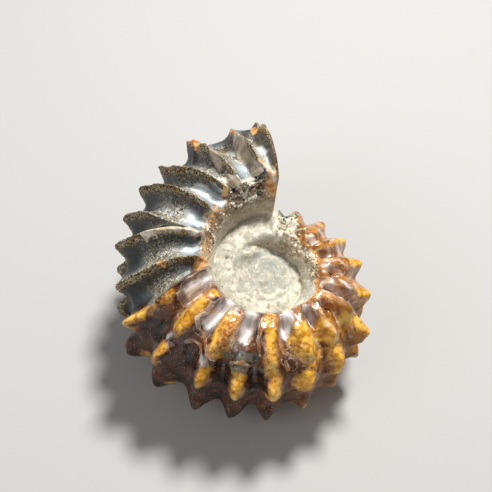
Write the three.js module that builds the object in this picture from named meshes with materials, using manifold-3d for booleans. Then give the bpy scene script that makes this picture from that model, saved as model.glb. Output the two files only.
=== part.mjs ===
// A fossil ammonite of the spiny, thick-ribbed kind, lying on one flank.
//
// The animal grew a tube along a flat logarithmic spiral: each turn back from the mouth, the whorl
// has the same outline at a smaller size. Strong ribs cross it, and each rib carries tubercles
// down either flank, with a smooth groove along the outer edge between the two sides. Between the
// ribs the surface sinks in wide troughs, which end at the shoulder of the umbilicus, the stepped
// hollow in the middle of each flank. Stone fills the innermost turns and crusts the hollow's
// edge, and the mouth is broken off. The whole fossil is one stone.
//
// Lengths are millimetres, +Z is up, and the stone lies on z = 0 on the worn tips of a few ribs.
import * as THREE from 'three';
import { mergeVertices } from 'three/addons/utils/BufferGeometryUtils.js';
import Module from 'manifold-3d';

const { clamp, degToRad, lerp, smoothstep } = THREE.MathUtils;

// ---- driving dimensions ----
const TIP_RADIUS = 34.5;      // coil axis to the tubercles of the outer edge, at the mouth
const WHORL_GROWTH = 2.13;    // how many times larger the whorl is one turn nearer the mouth
const MOUTH_BEARING = 92;     // direction of the broken mouth from the coil axis, degrees from +X
const PIECE_RIBS = 7;         // ribs in each solid that the coil is joined from, under half a turn
const REST_LEAN = 9.5;        // lean of the coil axis when the shell lies on its flank, degrees
const REST_BEARING = -90;     // bearing that the axis leans toward, degrees from +X
const WORN_OFF = 0.55;        // depth of the worn flats on the tips that it lies on, millimetres

// The ribs from the mouth back, as degrees back from it at the outer edge, halfway down the flank
// and at the shoulder of the umbilicus, with how strongly each one's tubercles swell. A short rib
// starts on the flank and dies away before the shoulder.
const RIBS = [
  { at: [0, -1, -8], knobs: 0.3 },   // the broken edge of the mouth
  { at: [10, 11, 1], knobs: 0.1 },
  { at: [26, 26, 20], knobs: 0.6 },
  { at: [39, 41, 29], knobs: 0.2 },
  { at: [51, 52, 51], knobs: 0.2 },
  { at: [64, 67, 71], knobs: 0.1, short: true },
  { at: [76, 77, 74], knobs: 0.2 },
  { at: [93, 95, 92], knobs: 0.2 },
  { at: [109, 112, 102], knobs: 1.2 },
  { at: [128, 129, 127], knobs: 1.0 },
  { at: [148, 147, 148], knobs: 1.0 },
  { at: [164, 161, 161], knobs: 0.9, short: true },
  { at: [180, 177, 174], knobs: 1.1 },
  { at: [197, 198, 200], knobs: 0.9 },
  { at: [214, 216, 220], knobs: 1.0 },
  { at: [236, 239, 235], knobs: 1.5 },
  { at: [262, 254, 249], knobs: 0.8 },
  { at: [282, 276, 271], knobs: 0.7 },
  { at: [299, 294, 290], knobs: 0.5 },
  { at: [317, 312, 308], knobs: 0.5 },
  { at: [335, 331, 327], knobs: 0.3 },
];
const OLD_RIBS = { first: 353, last: 720, spacing: 18.35, sweep: [0, -4, -8], knobs: 0.2 };
const THIN_RIBS_END = 104;    // the ribs are thin and sharp from the mouth back to here, degrees
const FULL_RIBS_START = 118;  // from here they are full and round, degrees

// The outline of half the whorl along a rib, from the groove of the outer edge over the flank and
// down the wall of the umbilicus. r and z are distances from the axis and the middle plane, trough
// is how deep the surface sinks between ribs and knob how far it swells on a rib, in tip radii.
const OUTLINE = [
  { r: 0.925, z: 0.000, trough: 0.000, knob: 0.000 },    // groove of the outer edge
  { r: 0.952, z: 0.080, trough: 0.060, knob: 0.000 },
  { r: 0.985, z: 0.156, trough: 0.105, knob: 0.035 },    // outer row of tubercles
  { r: 0.945, z: 0.245, trough: 0.110, knob: -0.010 },
  { r: 0.895, z: 0.330, trough: 0.115, knob: 0.065 },    // spines along the edge of the flank
  { r: 0.840, z: 0.400, trough: 0.110, knob: 0.020 },
  { r: 0.770, z: 0.460, trough: 0.105, knob: -0.020 },   // saddle of the rib
  { r: 0.690, z: 0.515, trough: 0.100, knob: 0.030 },    // tubercle of the flank
  { r: 0.590, z: 0.546, trough: 0.090, knob: 0.015 },
  { r: 0.490, z: 0.540, trough: 0.060, knob: 0.000 },    // shoulder of the umbilicus
  { r: 0.430, z: 0.490, trough: 0.000, knob: 0.000 },
  { r: 0.375, z: 0.370, trough: 0.000, knob: 0.000 },    // wall of the umbilicus
  { r: 0.340, z: 0.210, trough: 0.000, knob: 0.000 },    // seam, sunk in the turn before
];
const OUTER_ROW = 2;          // outline points that a rib's three bearings belong to
const SHOULDER = 10;
const SHORT_RIB_FADES = [5, 8];   // outline points between which a short rib dies away
const WHORL_HEART = { r: 0.62, z: 0.12 };   // troughs sink toward this point of the half outline
const CHIPPING = 0.012;       // unevenness of the thin crests, in tip radii

// The stone that fills the innermost turns, in tip radii.
const FILLING = { radius: 0.205, edge: 0.155, middle: 0.165 };

// Crusts on the edge of the umbilicus: crystals near the mouth and crumbs of rock across from it.
// back and point give the patch by degrees from the mouth and by outline point.
const CRUSTS = [
  { side: 1, back: [3, 31], point: [10.2, 11.0], size: [0.9, 1.5], grains: 18, crystals: true },
  { side: 1, back: [262, 322], point: [8.4, 10.6], size: [1.0, 2.0], grains: 18 },
  { side: -1, back: [212, 262], point: [9.0, 10.8], size: [0.9, 1.7], grains: 12 },
];

const wasm = await Module();
wasm.setup();

// ---- the law of growth ----
const sizeAt = (back) => TIP_RADIUS * WHORL_GROWTH ** (-back / 360);

// A repeatable number from -1 to 1 that differs from one place on the shell to the next.
function chance(place) {
  const noise = Math.sin(place * 12.9898) * 43758.5453;
  return 2 * (noise - Math.floor(noise)) - 1;
}

const ribs = [...RIBS];
for (let back = OLD_RIBS.first; back <= OLD_RIBS.last; back += OLD_RIBS.spacing) {
  ribs.push({ at: OLD_RIBS.sweep.map((sweep) => back + sweep), knobs: OLD_RIBS.knobs });
}
const lastRib = ribs.length - 1;

// Degrees back from the mouth on the line of a rib, at a point of the outline.
function ribBack(rib, point) {
  const along = clamp((point - OUTER_ROW) / (SHOULDER - OUTER_ROW), 0, 1);
  const [outer, flank, shoulder] = ribs[rib].at;
  return outer * (1 - along) * (1 - 2 * along) + flank * 4 * along * (1 - along)
    + shoulder * along * (2 * along - 1);
}

// The same for any place between the ribs: place 3.5 is midway between ribs 3 and 4.
function backAt(place, point) {
  const rib = Math.min(Math.floor(place), lastRib - 1);
  return lerp(ribBack(rib, point), ribBack(rib + 1, point), place - rib);
}

// How far up the side of the nearest rib a place lies: 1 on the crest, 0 in the trough.
function riseBetween(back, before, after) {
  const fromCrest = 2 * Math.min(back - before, after - back) / (after - before);
  const sharp = (1 - fromCrest) ** 2;
  const round = 0.5 + 0.5 * Math.cos(Math.PI * Math.max(0, fromCrest - 0.12) / 0.88);
  return lerp(sharp, round, smoothstep(back, THIN_RIBS_END, FULL_RIBS_START));
}

function riseAt(place, point) {
  let before = Math.min(Math.floor(place), lastRib - 1);
  let after = before + 1;
  const back = backAt(place, point);
  const rise = riseBetween(back, ribBack(before, point), ribBack(after, point));
  if (ribs[before].short) before--;
  if (ribs[after].short) after++;
  const longRise = riseBetween(back, ribBack(before, point), ribBack(after, point));
  return lerp(rise, longRise, smoothstep(point, ...SHORT_RIB_FADES));
}

// ---- one ring of points round the whorl ----
// It has its points in order from the upper seam over the outer edge to the lower seam.
function halfRing(place, side) {
  const crest = Number.isInteger(place) ? ribs[place] : undefined;
  return OUTLINE.map(({ r, z, trough, knob }, point) => {
    const back = backAt(place, point);
    const luck = chance(place + 3 * point * side);
    const relief = 1 - 0.6 * smoothstep(back, 350, 380);
    const thin = 1 - smoothstep(back, THIN_RIBS_END, FULL_RIBS_START);
    const swell = crest && trough > 0
      ? knob * crest.knobs * (1 + 0.3 * luck) + CHIPPING * thin * luck : 0;
    const outward = relief * (swell - trough * (1 - riseAt(place, point)));
    const [dr, dz] = [r - WHORL_HEART.r, z - WHORL_HEART.z];
    const reach = outward / Math.hypot(dr, dz);
    return { back, r: r + reach * dr, z: side * (z + reach * dz) };
  });
}

function ringAt(place) {
  return [...halfRing(place, 1).reverse(), ...halfRing(place, -1).slice(1)];
}

// ---- solids ----
function pointAt({ back, r, z }) {
  const bearing = degToRad(MOUTH_BEARING + back);
  const size = sizeAt(back);
  return [size * r * Math.cos(bearing), size * r * Math.sin(bearing), size * z];
}

function whorlGeometry(rings) {
  const around = rings[0].length;
  const triangles = [];
  for (let ring = 0; ring + 1 < rings.length; ring++) {
    for (let point = 0; point < around; point++) {
      const [a, b] = [ring * around + point, ring * around + (point + 1) % around];
      triangles.push(a, b, b + around, a, b + around, a + around);
    }
  }
  const capOf = (ring) => THREE.ShapeUtils.triangulateShape(
    ring.map(({ r, z }) => new THREE.Vector2(r, z)), []);
  for (const [a, b, c] of capOf(rings[0])) triangles.push(a, b, c);
  const last = (rings.length - 1) * around;
  for (const [a, b, c] of capOf(rings.at(-1))) triangles.push(last + a, last + c, last + b);
  const geometry = new THREE.BufferGeometry();
  const positions = rings.flat().flatMap(pointAt);
  geometry.setAttribute('position', new THREE.Float32BufferAttribute(positions, 3));
  geometry.setIndex(triangles);
  return geometry;
}

function solidOf(geometry) {
  geometry.deleteAttribute('normal');
  geometry.deleteAttribute('uv');
  const merged = mergeVertices(geometry);
  return new wasm.Manifold(new wasm.Mesh({
    numProp: 3,
    vertProperties: new Float32Array(merged.attributes.position.array),
    triVerts: new Uint32Array(merged.index.array),
  }));
}

function geometryOf(solid) {
  const mesh = solid.getMesh();
  const geometry = new THREE.BufferGeometry();
  geometry.setAttribute('position', new THREE.BufferAttribute(mesh.vertProperties, 3));
  geometry.setIndex(new THREE.BufferAttribute(mesh.triVerts, 1));
  return geometry;
}

// ---- the coil ----
// Rings stand on every crest, in every trough and on the slopes between. No piece of the coil is
// long enough to run into itself, and neighbours share the ring they meet on.
const SLOPE_STEPS = [0, 0.2, 0.5, 0.8];
const pieces = [];
for (let first = 0; first < lastRib; first += PIECE_RIBS) {
  const last = Math.min(first + PIECE_RIBS, lastRib);
  const places = [];
  for (let rib = first; rib < last; rib++) places.push(...SLOPE_STEPS.map((step) => rib + step));
  pieces.push(solidOf(whorlGeometry([...places, last].map(ringAt))));
}
const filling = new THREE.LatheGeometry([
  [0, -FILLING.middle], [FILLING.radius, -FILLING.edge],
  [FILLING.radius, FILLING.edge], [0, FILLING.middle],
].map(([r, z]) => new THREE.Vector2(r, z).multiplyScalar(TIP_RADIUS)), 20);
pieces.push(solidOf(filling.rotateX(Math.PI / 2)));

// ---- the crusts ----
// A place on the outline between two of its points, as it is on the crest of a rib.
function outlineAt(back, point, side) {
  const [from, to] = [OUTLINE[Math.floor(point)], OUTLINE[Math.floor(point) + 1]];
  const part = point - Math.floor(point);
  return { back, r: lerp(from.r, to.r, part), z: side * lerp(from.z, to.z, part) };
}

for (const { side, back, point, size, grains, crystals } of CRUSTS) {
  for (let grain = 0; grain < grains; grain++) {
    const [alongPatch, acrossPatch, ofSize, turn] = [1, 2, 3, 4].map((draw) =>
      0.5 + 0.5 * chance(grain * 7.3 + draw * 31.7 + back[0]));
    const radius = lerp(...size, ofSize);
    const shape = crystals ? new THREE.OctahedronGeometry(radius) : new THREE.IcosahedronGeometry(radius);
    shape.rotateX(Math.PI * turn).rotateZ(Math.PI * acrossPatch);
    shape.translate(...pointAt(outlineAt(lerp(...back, alongPatch), lerp(...point, acrossPatch), side)));
    pieces.push(solidOf(shape));
  }
}

// ---- laid down on its worn tips ----
const axisLean = new THREE.Vector3(
  -Math.sin(degToRad(REST_LEAN)) * Math.cos(degToRad(REST_BEARING)),
  -Math.sin(degToRad(REST_LEAN)) * Math.sin(degToRad(REST_BEARING)),
  Math.cos(degToRad(REST_LEAN)));
const lying = geometryOf(pieces.reduce((a, b) => a.add(b)))
  .applyQuaternion(new THREE.Quaternion().setFromUnitVectors(axisLean, new THREE.Vector3(0, 0, 1)));
lying.computeBoundingBox();
const middle = lying.boundingBox.getCenter(new THREE.Vector3());
lying.translate(-middle.x, -middle.y, -lying.boundingBox.min.z - WORN_OFF);
const ground = new THREE.BoxGeometry(6 * TIP_RADIUS, 6 * TIP_RADIUS, 2 * TIP_RADIUS);
ground.translate(0, 0, -TIP_RADIUS);
const stone = solidOf(lying).subtract(solidOf(ground));

const material = new THREE.MeshStandardMaterial({ color: 0x8a6a3c, roughness: 0.35, metalness: 0 });
const ammonite = new THREE.Mesh(geometryOf(stone), material);
ammonite.name = 'ammonite';

const model = new THREE.Group();
model.add(ammonite);
export default model;
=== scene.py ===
# %% [markdown]
# # A fossil ammonite in amber calcite and grey nacre
#
# The animal lived in the last chamber of a coiled tube. After it died, calcite grew in the
# chambers, the shell wore away, and what is left is one stone: glossy amber and brown calcite in
# the older half, dark pearly grey in the younger half, and chalky rock in the hollow of each
# flank. One stone means one mesh here, with a few small crusts of crystals and crumbs on it.
#
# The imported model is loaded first. It is the frame that everything else has to fit, and its box
# is kept so that the finished stone can be compared with it.

import math
import random

import bmesh
import bpy
from mathutils import Matrix, Vector, noise
from mathutils.bvhtree import BVHTree


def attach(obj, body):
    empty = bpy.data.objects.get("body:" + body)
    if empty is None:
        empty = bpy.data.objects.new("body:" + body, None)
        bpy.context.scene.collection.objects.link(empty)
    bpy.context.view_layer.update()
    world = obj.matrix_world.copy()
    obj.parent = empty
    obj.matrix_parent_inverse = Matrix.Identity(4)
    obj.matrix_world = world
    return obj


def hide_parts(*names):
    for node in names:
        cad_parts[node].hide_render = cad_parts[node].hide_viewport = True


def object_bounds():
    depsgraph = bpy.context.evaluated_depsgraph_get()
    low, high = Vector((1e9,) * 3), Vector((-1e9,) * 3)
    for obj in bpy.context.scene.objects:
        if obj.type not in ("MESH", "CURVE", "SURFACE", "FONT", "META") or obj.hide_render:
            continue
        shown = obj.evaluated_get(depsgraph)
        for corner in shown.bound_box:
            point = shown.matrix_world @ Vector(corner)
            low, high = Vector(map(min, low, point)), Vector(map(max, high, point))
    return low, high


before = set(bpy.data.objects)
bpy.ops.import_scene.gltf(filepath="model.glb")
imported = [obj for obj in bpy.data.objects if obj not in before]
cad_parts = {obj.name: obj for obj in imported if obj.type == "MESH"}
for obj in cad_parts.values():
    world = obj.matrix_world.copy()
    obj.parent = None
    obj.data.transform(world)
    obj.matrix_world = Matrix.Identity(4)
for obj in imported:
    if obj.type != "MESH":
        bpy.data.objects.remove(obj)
cad_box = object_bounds()
scene = bpy.context.scene
print("frame box in mm:", [[round(1000 * side, 2) for side in corner] for corner in cad_box])

# %% [markdown]
# ## The law of growth
#
# A shell that grows by the same share in every turn is a logarithmic spiral. So a place on it is
# told by two numbers: how many degrees back from the mouth it lies, and where it is on the
# outline of the whorl. Point 0 is the groove of the outer edge, 2 to 4 the spines, 6 the flank,
# 10 the shoulder of the umbilicus and 12 the seam; the lower flank has the same points, negative.
# Everything below is made and coloured in these shell coordinates.

# %% Growth and ribs
TIP_RADIUS = 0.0345           # coil axis to the tubercles of the outer edge, at the mouth
WHORL_GROWTH = 2.13           # how many times larger the whorl is one turn nearer the mouth
MOUTH_BEARING = 92            # direction of the broken mouth from the coil axis, degrees
REST_LEAN = 9.5               # how far the coil axis leans as the stone lies on its flank, degrees
COIL_PLACE = Vector((0.0041178, -0.0050342, 0.0157113))   # middle of the coil in the frame
MM = 0.001

# Each rib: degrees back from the mouth at the outer edge, on the flank and at the shoulder, how
# strongly its tubercles swell, and the outline point where the trough behind it ends.
RIBS = [
    ((1, -1, -8), 0.3, 9.8),
    ((8, 11, 1), 0.1, 10.3),
    ((26, 26, 20), 0.6, 10.5),
    ((39, 41, 29), 0.2, 10.4),
    ((51, 52, 51), 0.2, 10.4),
    ((64, 67, 71), 0.1, 10.3),
    ((76, 77, 74), 0.2, 10.1),
    ((93, 95, 92), 0.2, 10.1),
    ((109, 112, 102), 1.2, 10.6),
    ((128, 129, 127), 1.0, 10.3),
    ((148, 147, 148), 1.0, 9.9),
    ((164, 161, 161), 0.9, 9.9),
    ((180, 177, 174), 1.1, 9.8),
    ((197, 200, 201), 0.9, 9.7),
    ((215, 219, 221), 1.0, 9.0),
    ((236, 239, 235), 1.5, 9.2),
    ((262, 254, 249), 0.8, 9.2),
    ((282, 276, 271), 0.7, 9.4),
    ((299, 294, 290), 0.5, 9.6),
    ((317, 312, 308), 0.5, 9.6),
    ((335, 331, 327), 0.3, 9.6),
]
SHORT_RIBS = (5, 11)          # they die away on the flank and don't reach the shoulder
SHORT_RIB_FADES = (5, 8)      # outline points where they begin to fade and are gone
OLD_RIB_FIRST, OLD_RIB_SPACING, OLD_RIB_COUNT = 353, 18.35, 15     # the older whorl's even ribs
for number in range(OLD_RIB_COUNT):
    back = OLD_RIB_FIRST + number * OLD_RIB_SPACING
    RIBS.append(((back, back - 4, back - 8), 0.2, 9.6))
OUTER_ROW, SHOULDER = 2, 10   # outline points that a rib's three bearings belong to
THIN_RIBS_END, FULL_RIBS_START = 104, 118     # degrees back where thin ribs turn into full ones
# How much of a few troughs is filled up near the outer edge.
FILLED_TROUGHS = {0: 0.8, 1: 0.55, 2: 0.2, 12: 0.35, 13: 0.4, 14: 0.3}
STEEP_SIDE = 0.66             # below 1 makes a thin rib steeper on its older side
THIN_CREST, THIN_FALL = 0.07, 2.3     # half width of a thin rib's crest, and how fast it falls away
FULL_CREST = (0.12, 0.36)     # half width of a full rib's crest, on the outer and the inner flank


def size_at(back):
    return TIP_RADIUS * WHORL_GROWTH ** (-back / 360)


def clamp(value, low=0.0, high=1.0):
    return min(max(value, low), high)


def lerp(start, end, share):
    return start + (end - start) * share


def smoothstep(value, low, high):
    share = clamp((value - low) / (high - low))
    return share * share * (3 - 2 * share)


def hump(value, middle, width):
    """1 at the middle, falling smoothly to 0 on both sides."""
    return math.exp(-((value - middle) / width) ** 2)


print(len(RIBS), "ribs; the whorl shrinks to", round(size_at(360) / TIP_RADIUS, 3), "in a turn")


# %% [markdown]
# ## The outline of the whorl
#
# The solid frame has this outline as straight lines between its points. The stone is rounder, so
# a smooth curve is passed through the same points. Between two ribs the surface sinks in a wide
# trough. A trough is like a scoop: an even hollow with a rounded end near the umbilicus. In the
# older half it is shallow on the flank and deepest at that end, like the print of a finger.

# %% Outline, troughs and tubercles
# In tip radii, for the outline points 0 to 12: how far from the coil's axis, how high above its
# middle, and how deep the troughs are in the grey half and in the older half.
OUTLINE_R = (0.925, 0.952, 0.985, 0.945, 0.895, 0.840, 0.770, 0.690, 0.590, 0.490, 0.430, 0.375, 0.340)
OUTLINE_Z = (0.000, 0.080, 0.156, 0.245, 0.330, 0.400, 0.460, 0.515, 0.546, 0.540, 0.490, 0.370, 0.210)
TROUGH = (0.030, 0.055, 0.090, 0.108, 0.115, 0.112, 0.107, 0.102, 0.095, 0.085, 0.080, 0.060, 0.000)
OLD_TROUGH = (0.030, 0.055, 0.085, 0.098, 0.092, 0.080, 0.072, 0.080, 0.114, 0.119, 0.090, 0.050, 0.000)
HEART_R, HEART_Z = 0.62, 0.12             # troughs sink toward this point of the half outline
SEAM = len(OUTLINE_R) - 1


def curve_through(values, point, odd=False):
    """A smooth curve through the values, mirrored at the first one."""
    index = min(int(point), SEAM - 1)
    share = point - index
    first = (-values[1] if odd else values[1]) if index == 0 else values[index - 1]
    last = values[index + 2] if index + 2 <= SEAM else 2 * values[SEAM] - values[SEAM - 1]
    start, end = values[index], values[index + 1]
    return 0.5 * (2 * start + (end - first) * share
                  + (2 * first - 5 * start + 4 * end - last) * share ** 2
                  + (3 * start - first - 3 * end + last) * share ** 3)


# Swelling of a rib's tubercles: outline point, width in points and height in tip radii.
TUBERCLES = ((5.8, 0.75, 0.034), (4.5, 0.60, -0.022), (3.0, 0.75, 0.062), (1.7, 0.50, 0.015))
TUBERCLE_REACH = 0.32                     # how far a tubercle reaches from its rib to midway
SHORTEST_END, END_PER_WIDTH = 0.6, 5.5    # length of a trough's rounded end, in outline points


def rib_back(rib, point):
    """Degrees back from the mouth on the line of a rib."""
    along = clamp((point - OUTER_ROW) / (SHOULDER - OUTER_ROW))
    outer, flank, shoulder = RIBS[rib][0]
    return (outer * (1 - along) * (1 - 2 * along) + flank * 4 * along * (1 - along)
            + shoulder * along * (2 * along - 1))


def back_at(place, point):
    """The same for any place between ribs: place 3.5 is midway between ribs 3 and 4."""
    rib = min(int(place), len(RIBS) - 2)
    return lerp(rib_back(rib, point), rib_back(rib + 1, point), place - rib)


def rise_between(back, before, after, point, end):
    """(1 on a crest to 0 at the bottom of a trough, 0 on a rib's line to 1 midway)."""
    share = clamp((back - before) / (after - before))
    full = smoothstep(back, THIN_RIBS_END, FULL_RIBS_START)
    middle = abs(2 * share ** lerp(STEEP_SIDE, 1, full) - 1)
    round_end = max(SHORTEST_END, math.radians(after - before) / 2 * END_PER_WIDTH)
    past_end = max(0.0, (point - end + round_end) / round_end)
    from_crest = max(0.0, 1 - math.hypot(middle, past_end))
    thin_rise = (1 - max(0.0, from_crest - THIN_CREST) / (1 - THIN_CREST)) ** THIN_FALL
    flat = lerp(*FULL_CREST, smoothstep(point, 6, 8.5))
    full_rise = 0.5 + 0.5 * math.cos(math.pi * max(0.0, from_crest - flat) / (1 - flat))
    return lerp(thin_rise, full_rise, full), 1 - abs(2 * share - 1)


def rise_at(place, point, back):
    before = min(int(place), len(RIBS) - 2)
    after = before + 1
    end = RIBS[before][2]
    rise = rise_between(back, rib_back(before, point), rib_back(after, point), point, end)
    if before in SHORT_RIBS:
        before -= 1
    if after in SHORT_RIBS:
        after += 1
    fade = smoothstep(point, *SHORT_RIB_FADES)
    if fade == 0 or after - before == 1:
        return rise
    wide = rise_between(back, rib_back(before, point), rib_back(after, point), point, end)
    return lerp(rise[0], wide[0], fade), lerp(rise[1], wide[1], fade)


print("outline of", SEAM + 1, "points,", len(TUBERCLES), "swellings on a rib")

# %% [markdown]
# ## Marks
#
# Patches, breaks and veins are marks: a few shell coordinates and a radius in millimetres. A
# place asks how deep it lies inside the marks of one kind. The answer is in millimetres too,
# above zero inside a mark and below it outside, so a material can make its edge ragged later.
# A mark with one place is a round spot, one with more is a line as thick as twice its radius.

# %% Unrolled distances
ARC_STEPS = 240
ARC = [0.0]
for step in range(ARC_STEPS):
    here, there = SEAM * step / ARC_STEPS, SEAM * (step + 1) / ARC_STEPS
    run = curve_through(OUTLINE_R, there) - curve_through(OUTLINE_R, here)
    climb = curve_through(OUTLINE_Z, there, True) - curve_through(OUTLINE_Z, here, True)
    ARC.append(ARC[-1] + math.hypot(run, climb))


def arc_at(point):
    """Length of the outline from the outer groove to a point, in tip radii."""
    step = clamp(point / SEAM) * ARC_STEPS
    index = min(int(step), ARC_STEPS - 1)
    return lerp(ARC[index], ARC[index + 1], step - index)


def laid_out(marks):
    """Marks with their reach along the coil and their points measured along the outline."""
    ready = []
    for radius, *places in marks:
        backs = [back for back, point in places]
        ready.append((radius, min(backs), max(backs), [(back, arc_at(point)) for back, point in places]))
    return ready


def segment_distance(ax, ay, bx, by):
    dx, dy = bx - ax, by - ay
    share = clamp(-(ax * dx + ay * dy) / max(dx * dx + dy * dy, 1e-9))
    return math.hypot(ax + share * dx, ay + share * dy)


FAR = -3.0                    # no mark is asked about from further off, in millimetres


def depth_in(marks, back, point):
    """How deep a place lies inside the nearest mark, in millimetres."""
    size = 1000 * size_at(back)
    across = math.radians(size * curve_through(OUTLINE_R, min(point, SEAM)))
    arc = arc_at(point)
    depth = FAR
    for radius, low, high, places in marks:
        if low - back > (radius - depth) / across or back - high > (radius - depth) / across:
            continue
        flat = [((b - back) * across, (a - arc) * size) for b, a in places]
        for here, there in zip(flat, flat[1:] or flat):
            depth = max(depth, radius - segment_distance(*here, *there))
    return depth


print("outline from groove to seam is", round(ARC[-1], 3), "tip radii long")

# %% Marks of the golden and brown calcite
# Each mark is a radius in millimetres and the places that its line runs through.
COILED_LUMP = (301.5, 8.3)    # a small lump with a ring round it, near the oldest ribs
SUTURE_RADIUS = 0.24          # frilled lines where the walls of the chambers met the shell
GOLD = [
    (1.2, (111.5, 5.2), (110.0, 3.6), (109.6, 2.2)), (1.5, (127.0, 5.8), (125.6, 7.4), (123.0, 9.0)),
    (0.45, (113.5, 6.0), (111.2, 6.9)), (0.9, (127.1, 2.2), (127.5, 3.6)),
    (1.7, (149.8, 5.7), (148.3, 6.9), (147.9, 8.2)), (0.9, (148.2, 3.0), (148.0, 4.1)),
    (1.3, (163.5, 2.7), (163.2, 3.9), (162.9, 4.8)),
    (1.2, (176.7, 9.4), (177.1, 7.7), (177.4, 6.6), (178.5, 4.7)), (1.5, (181.4, 3.6), (180.6, 2.6)),
    (2.7, (198.8, 7.2), (200.4, 6.2), (202.0, 5.2)), (1.5, (193.7, 2.7), (197.3, 3.6)),
    (1.9, (213.6, 6.8), (217.0, 5.2)), (1.3, (215.2, 4.0), (214.3, 2.0)),
    (1.5, (232.3, 5.7), (236.8, 4.2), (239.5, 2.3)), (1.5, (255.0, 5.0), (258.0, 2.6)),
    (1.2, (276.0, 5.6), (280.0, 2.6)), (1.0, (294.0, 5.8), (298.0, 3.0)), (0.9, (313.0, 5.4), (316.0, 3.2)),
]
LOBES = [
    (1.5, (116.5, 7.6), (105.5, 10.3)), (2.0, (136.5, 6.9), (139.4, 9.9)),
    (1.6, (158.6, 6.4), (159.5, 9.9)), (1.5, (187.5, 7.3), (192.5, 9.6)), (1.5, (211.5, 7.2), (214.0, 9.0)),
    (2.1, (246.0, 5.9), (244.6, 8.4)), (1.0, (268.0, 6.9), (266.0, 8.6)), (0.9, (286.0, 7.2), (283.5, 8.8)),
    (1.2, (189.0, 4.8), (187.0, 5.6)),
]
# Painted highlights, streaked like silky fibres of white calcite: along the floors of the troughs,
# and on a few ribs and saddles.
PAINTED_HIGHLIGHTS = [
    (0.85, (115.0, 7.9), (104.5, 10.7)), (1.1, (136.4, 7.3), (139.4, 10.0)),
    (1.1, (160.3, 7.4), (159.0, 10.2)), (1.15, (188.2, 7.9), (193.5, 9.8)),
    (0.6, (213.2, 9.2), (212.2, 7.6)), (0.7, (247.5, 8.7), (243.5, 6.3)),
    (0.45, (178.0, 8.7), (177.7, 8.0), (174.6, 7.5)), (0.35, (192.6, 6.9), (196.0, 6.3)),
    (0.5, (147.5, 8.9), (146.5, 9.6)), (0.4, (268.0, 8.9), (266.0, 7.9)),
    (0.35, (281.0, 8.2), (286.0, 7.4)), (0.6, (290.0, 6.0), (286.0, 4.6)),
    (0.5, (309.0, 6.6), (305.0, 6.0)), (0.5, (228.0, 9.3), (230.0, 8.2)),
    (0.55, (126.6, 4.8), (125.6, 4.3)), (0.65, (146.6, 4.2), (144.6, 4.7)),
    (0.5, (256.5, 7.4), (252.0, 6.0)), (1.2, COILED_LUMP, (302.0, 8.3)),
]
SUTURES = [(SUTURE_RADIUS, *line) for line in (
    ((133.7, 8.4), (133.4, 7.8), (130.8, 7.1), (135.9, 6.6), (140.6, 6.2), (144.4, 5.5), (150.2, 4.9)),
    ((133.6, 5.0), (135.4, 5.5), (139.9, 5.5), (143.2, 4.8)), ((157.4, 5.2), (162.9, 5.5), (167.4, 5.1)),
    ((153.6, 8.9), (155.2, 7.6), (154.4, 6.7)),
    ((182.9, 7.4), (185.6, 6.3), (192.8, 5.5), (198.0, 4.8), (202.1, 4.5)),
    ((187.8, 4.4), (186.4, 5.4), (191.6, 5.6)), ((206.5, 6.9), (209.4, 5.4), (208.2, 4.1)),
    ((242.0, 9.0), (251.0, 8.6), (245.7, 6.6), (255.1, 4.8), (245.1, 5.5), (239.3, 7.0), (238.5, 8.4)),
    ((220.2, 8.8), (220.6, 8.0), (218.6, 6.6), (220.7, 5.5), (226.5, 4.9)),
    ((229.5, 8.9), (233.0, 7.4), (228.4, 5.9), (233.5, 4.4), (231.0, 3.2)),
    ((250.0, 4.2), (254.5, 3.6), (252.0, 2.4)), ((273.5, 8.6), (275.0, 7.0), (271.0, 6.0)),
    ((292.5, 7.0), (296.0, 5.8), (293.0, 4.6)), ((170.8, 8.9), (169.0, 7.4), (171.6, 6.2)),
    ((262.5, 8.9), (266.5, 7.2), (262.0, 5.7), (268.5, 4.6)), ((280.5, 6.4), (285.0, 5.4), (283.0, 4.4)),
)]

# %% Marks of the grey half, and the slaty remains
ORANGE = [
    (0.35, (93.6, 6.7), (95.2, 7.1)), (0.4, (52.0, 10.1), (48.0, 10.6)), (0.4, (42.8, 11.0), (43.5, 11.0)),
    (0.45, (55.0, 10.3), (57.0, 10.6)), (0.6, (67.9, 10.4), (72.5, 11.0)),
    (0.5, (79.6, 10.2), (82.0, 10.9)), (0.8, (89.5, 10.6), (96.2, 9.7)), (0.5, (84.0, 11.3), (92.0, 11.4)),
    (0.5, (3.2, 3.4), (1.8, 4.3)), (0.6, (11.0, 4.2), (9.8, 5.0)),
    (0.75, (25.4, 2.6), (25.6, 3.8), (25.8, 5.0)), (0.8, (3.0, 8.7), (-1.4, 9.2), (-4.4, 10.0)),
    (0.8, (-1.5, 10.3), (-7.0, 10.8)), (0.5, (30.5, 9.5), (33.0, 9.9)), (0.8, (149.5, 6.2), (151.5, 8.4)),
    (0.6, (176.0, 9.9), (178.5, 8.8)), (0.9, (232.0, 9.0), (236.0, 8.2)),
]
CREAM = [
    (0.85, (27.2, 8.6), (24.9, 9.2), (21.5, 9.8)), (0.5, (29.1, 8.4), (31.0, 8.9)),
    (0.5, (18.0, 9.9), (12.0, 9.8)), (0.6, (77.0, 5.6), (76.4, 6.6), (74.7, 7.8), (71.4, 9.2)),
    (0.5, (0.5, 8.9), (-3.5, 9.4), (-5.5, 10.3)), (0.5, (8.0, 9.4), (4.0, 9.4)),
]
TAN = [
    (0.7, (11.2, 5.4), (11.2, 8.0), (7.4, 8.9)), (0.5, (24.2, 6.0), (26.0, 7.9)),
    (0.9, (-2.0, 9.6), (-8.0, 10.9)), (0.7, (74.4, 8.0), (70.6, 10.2)), (0.8, (6.0, 9.2), (16.0, 10.1)),
]
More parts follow.
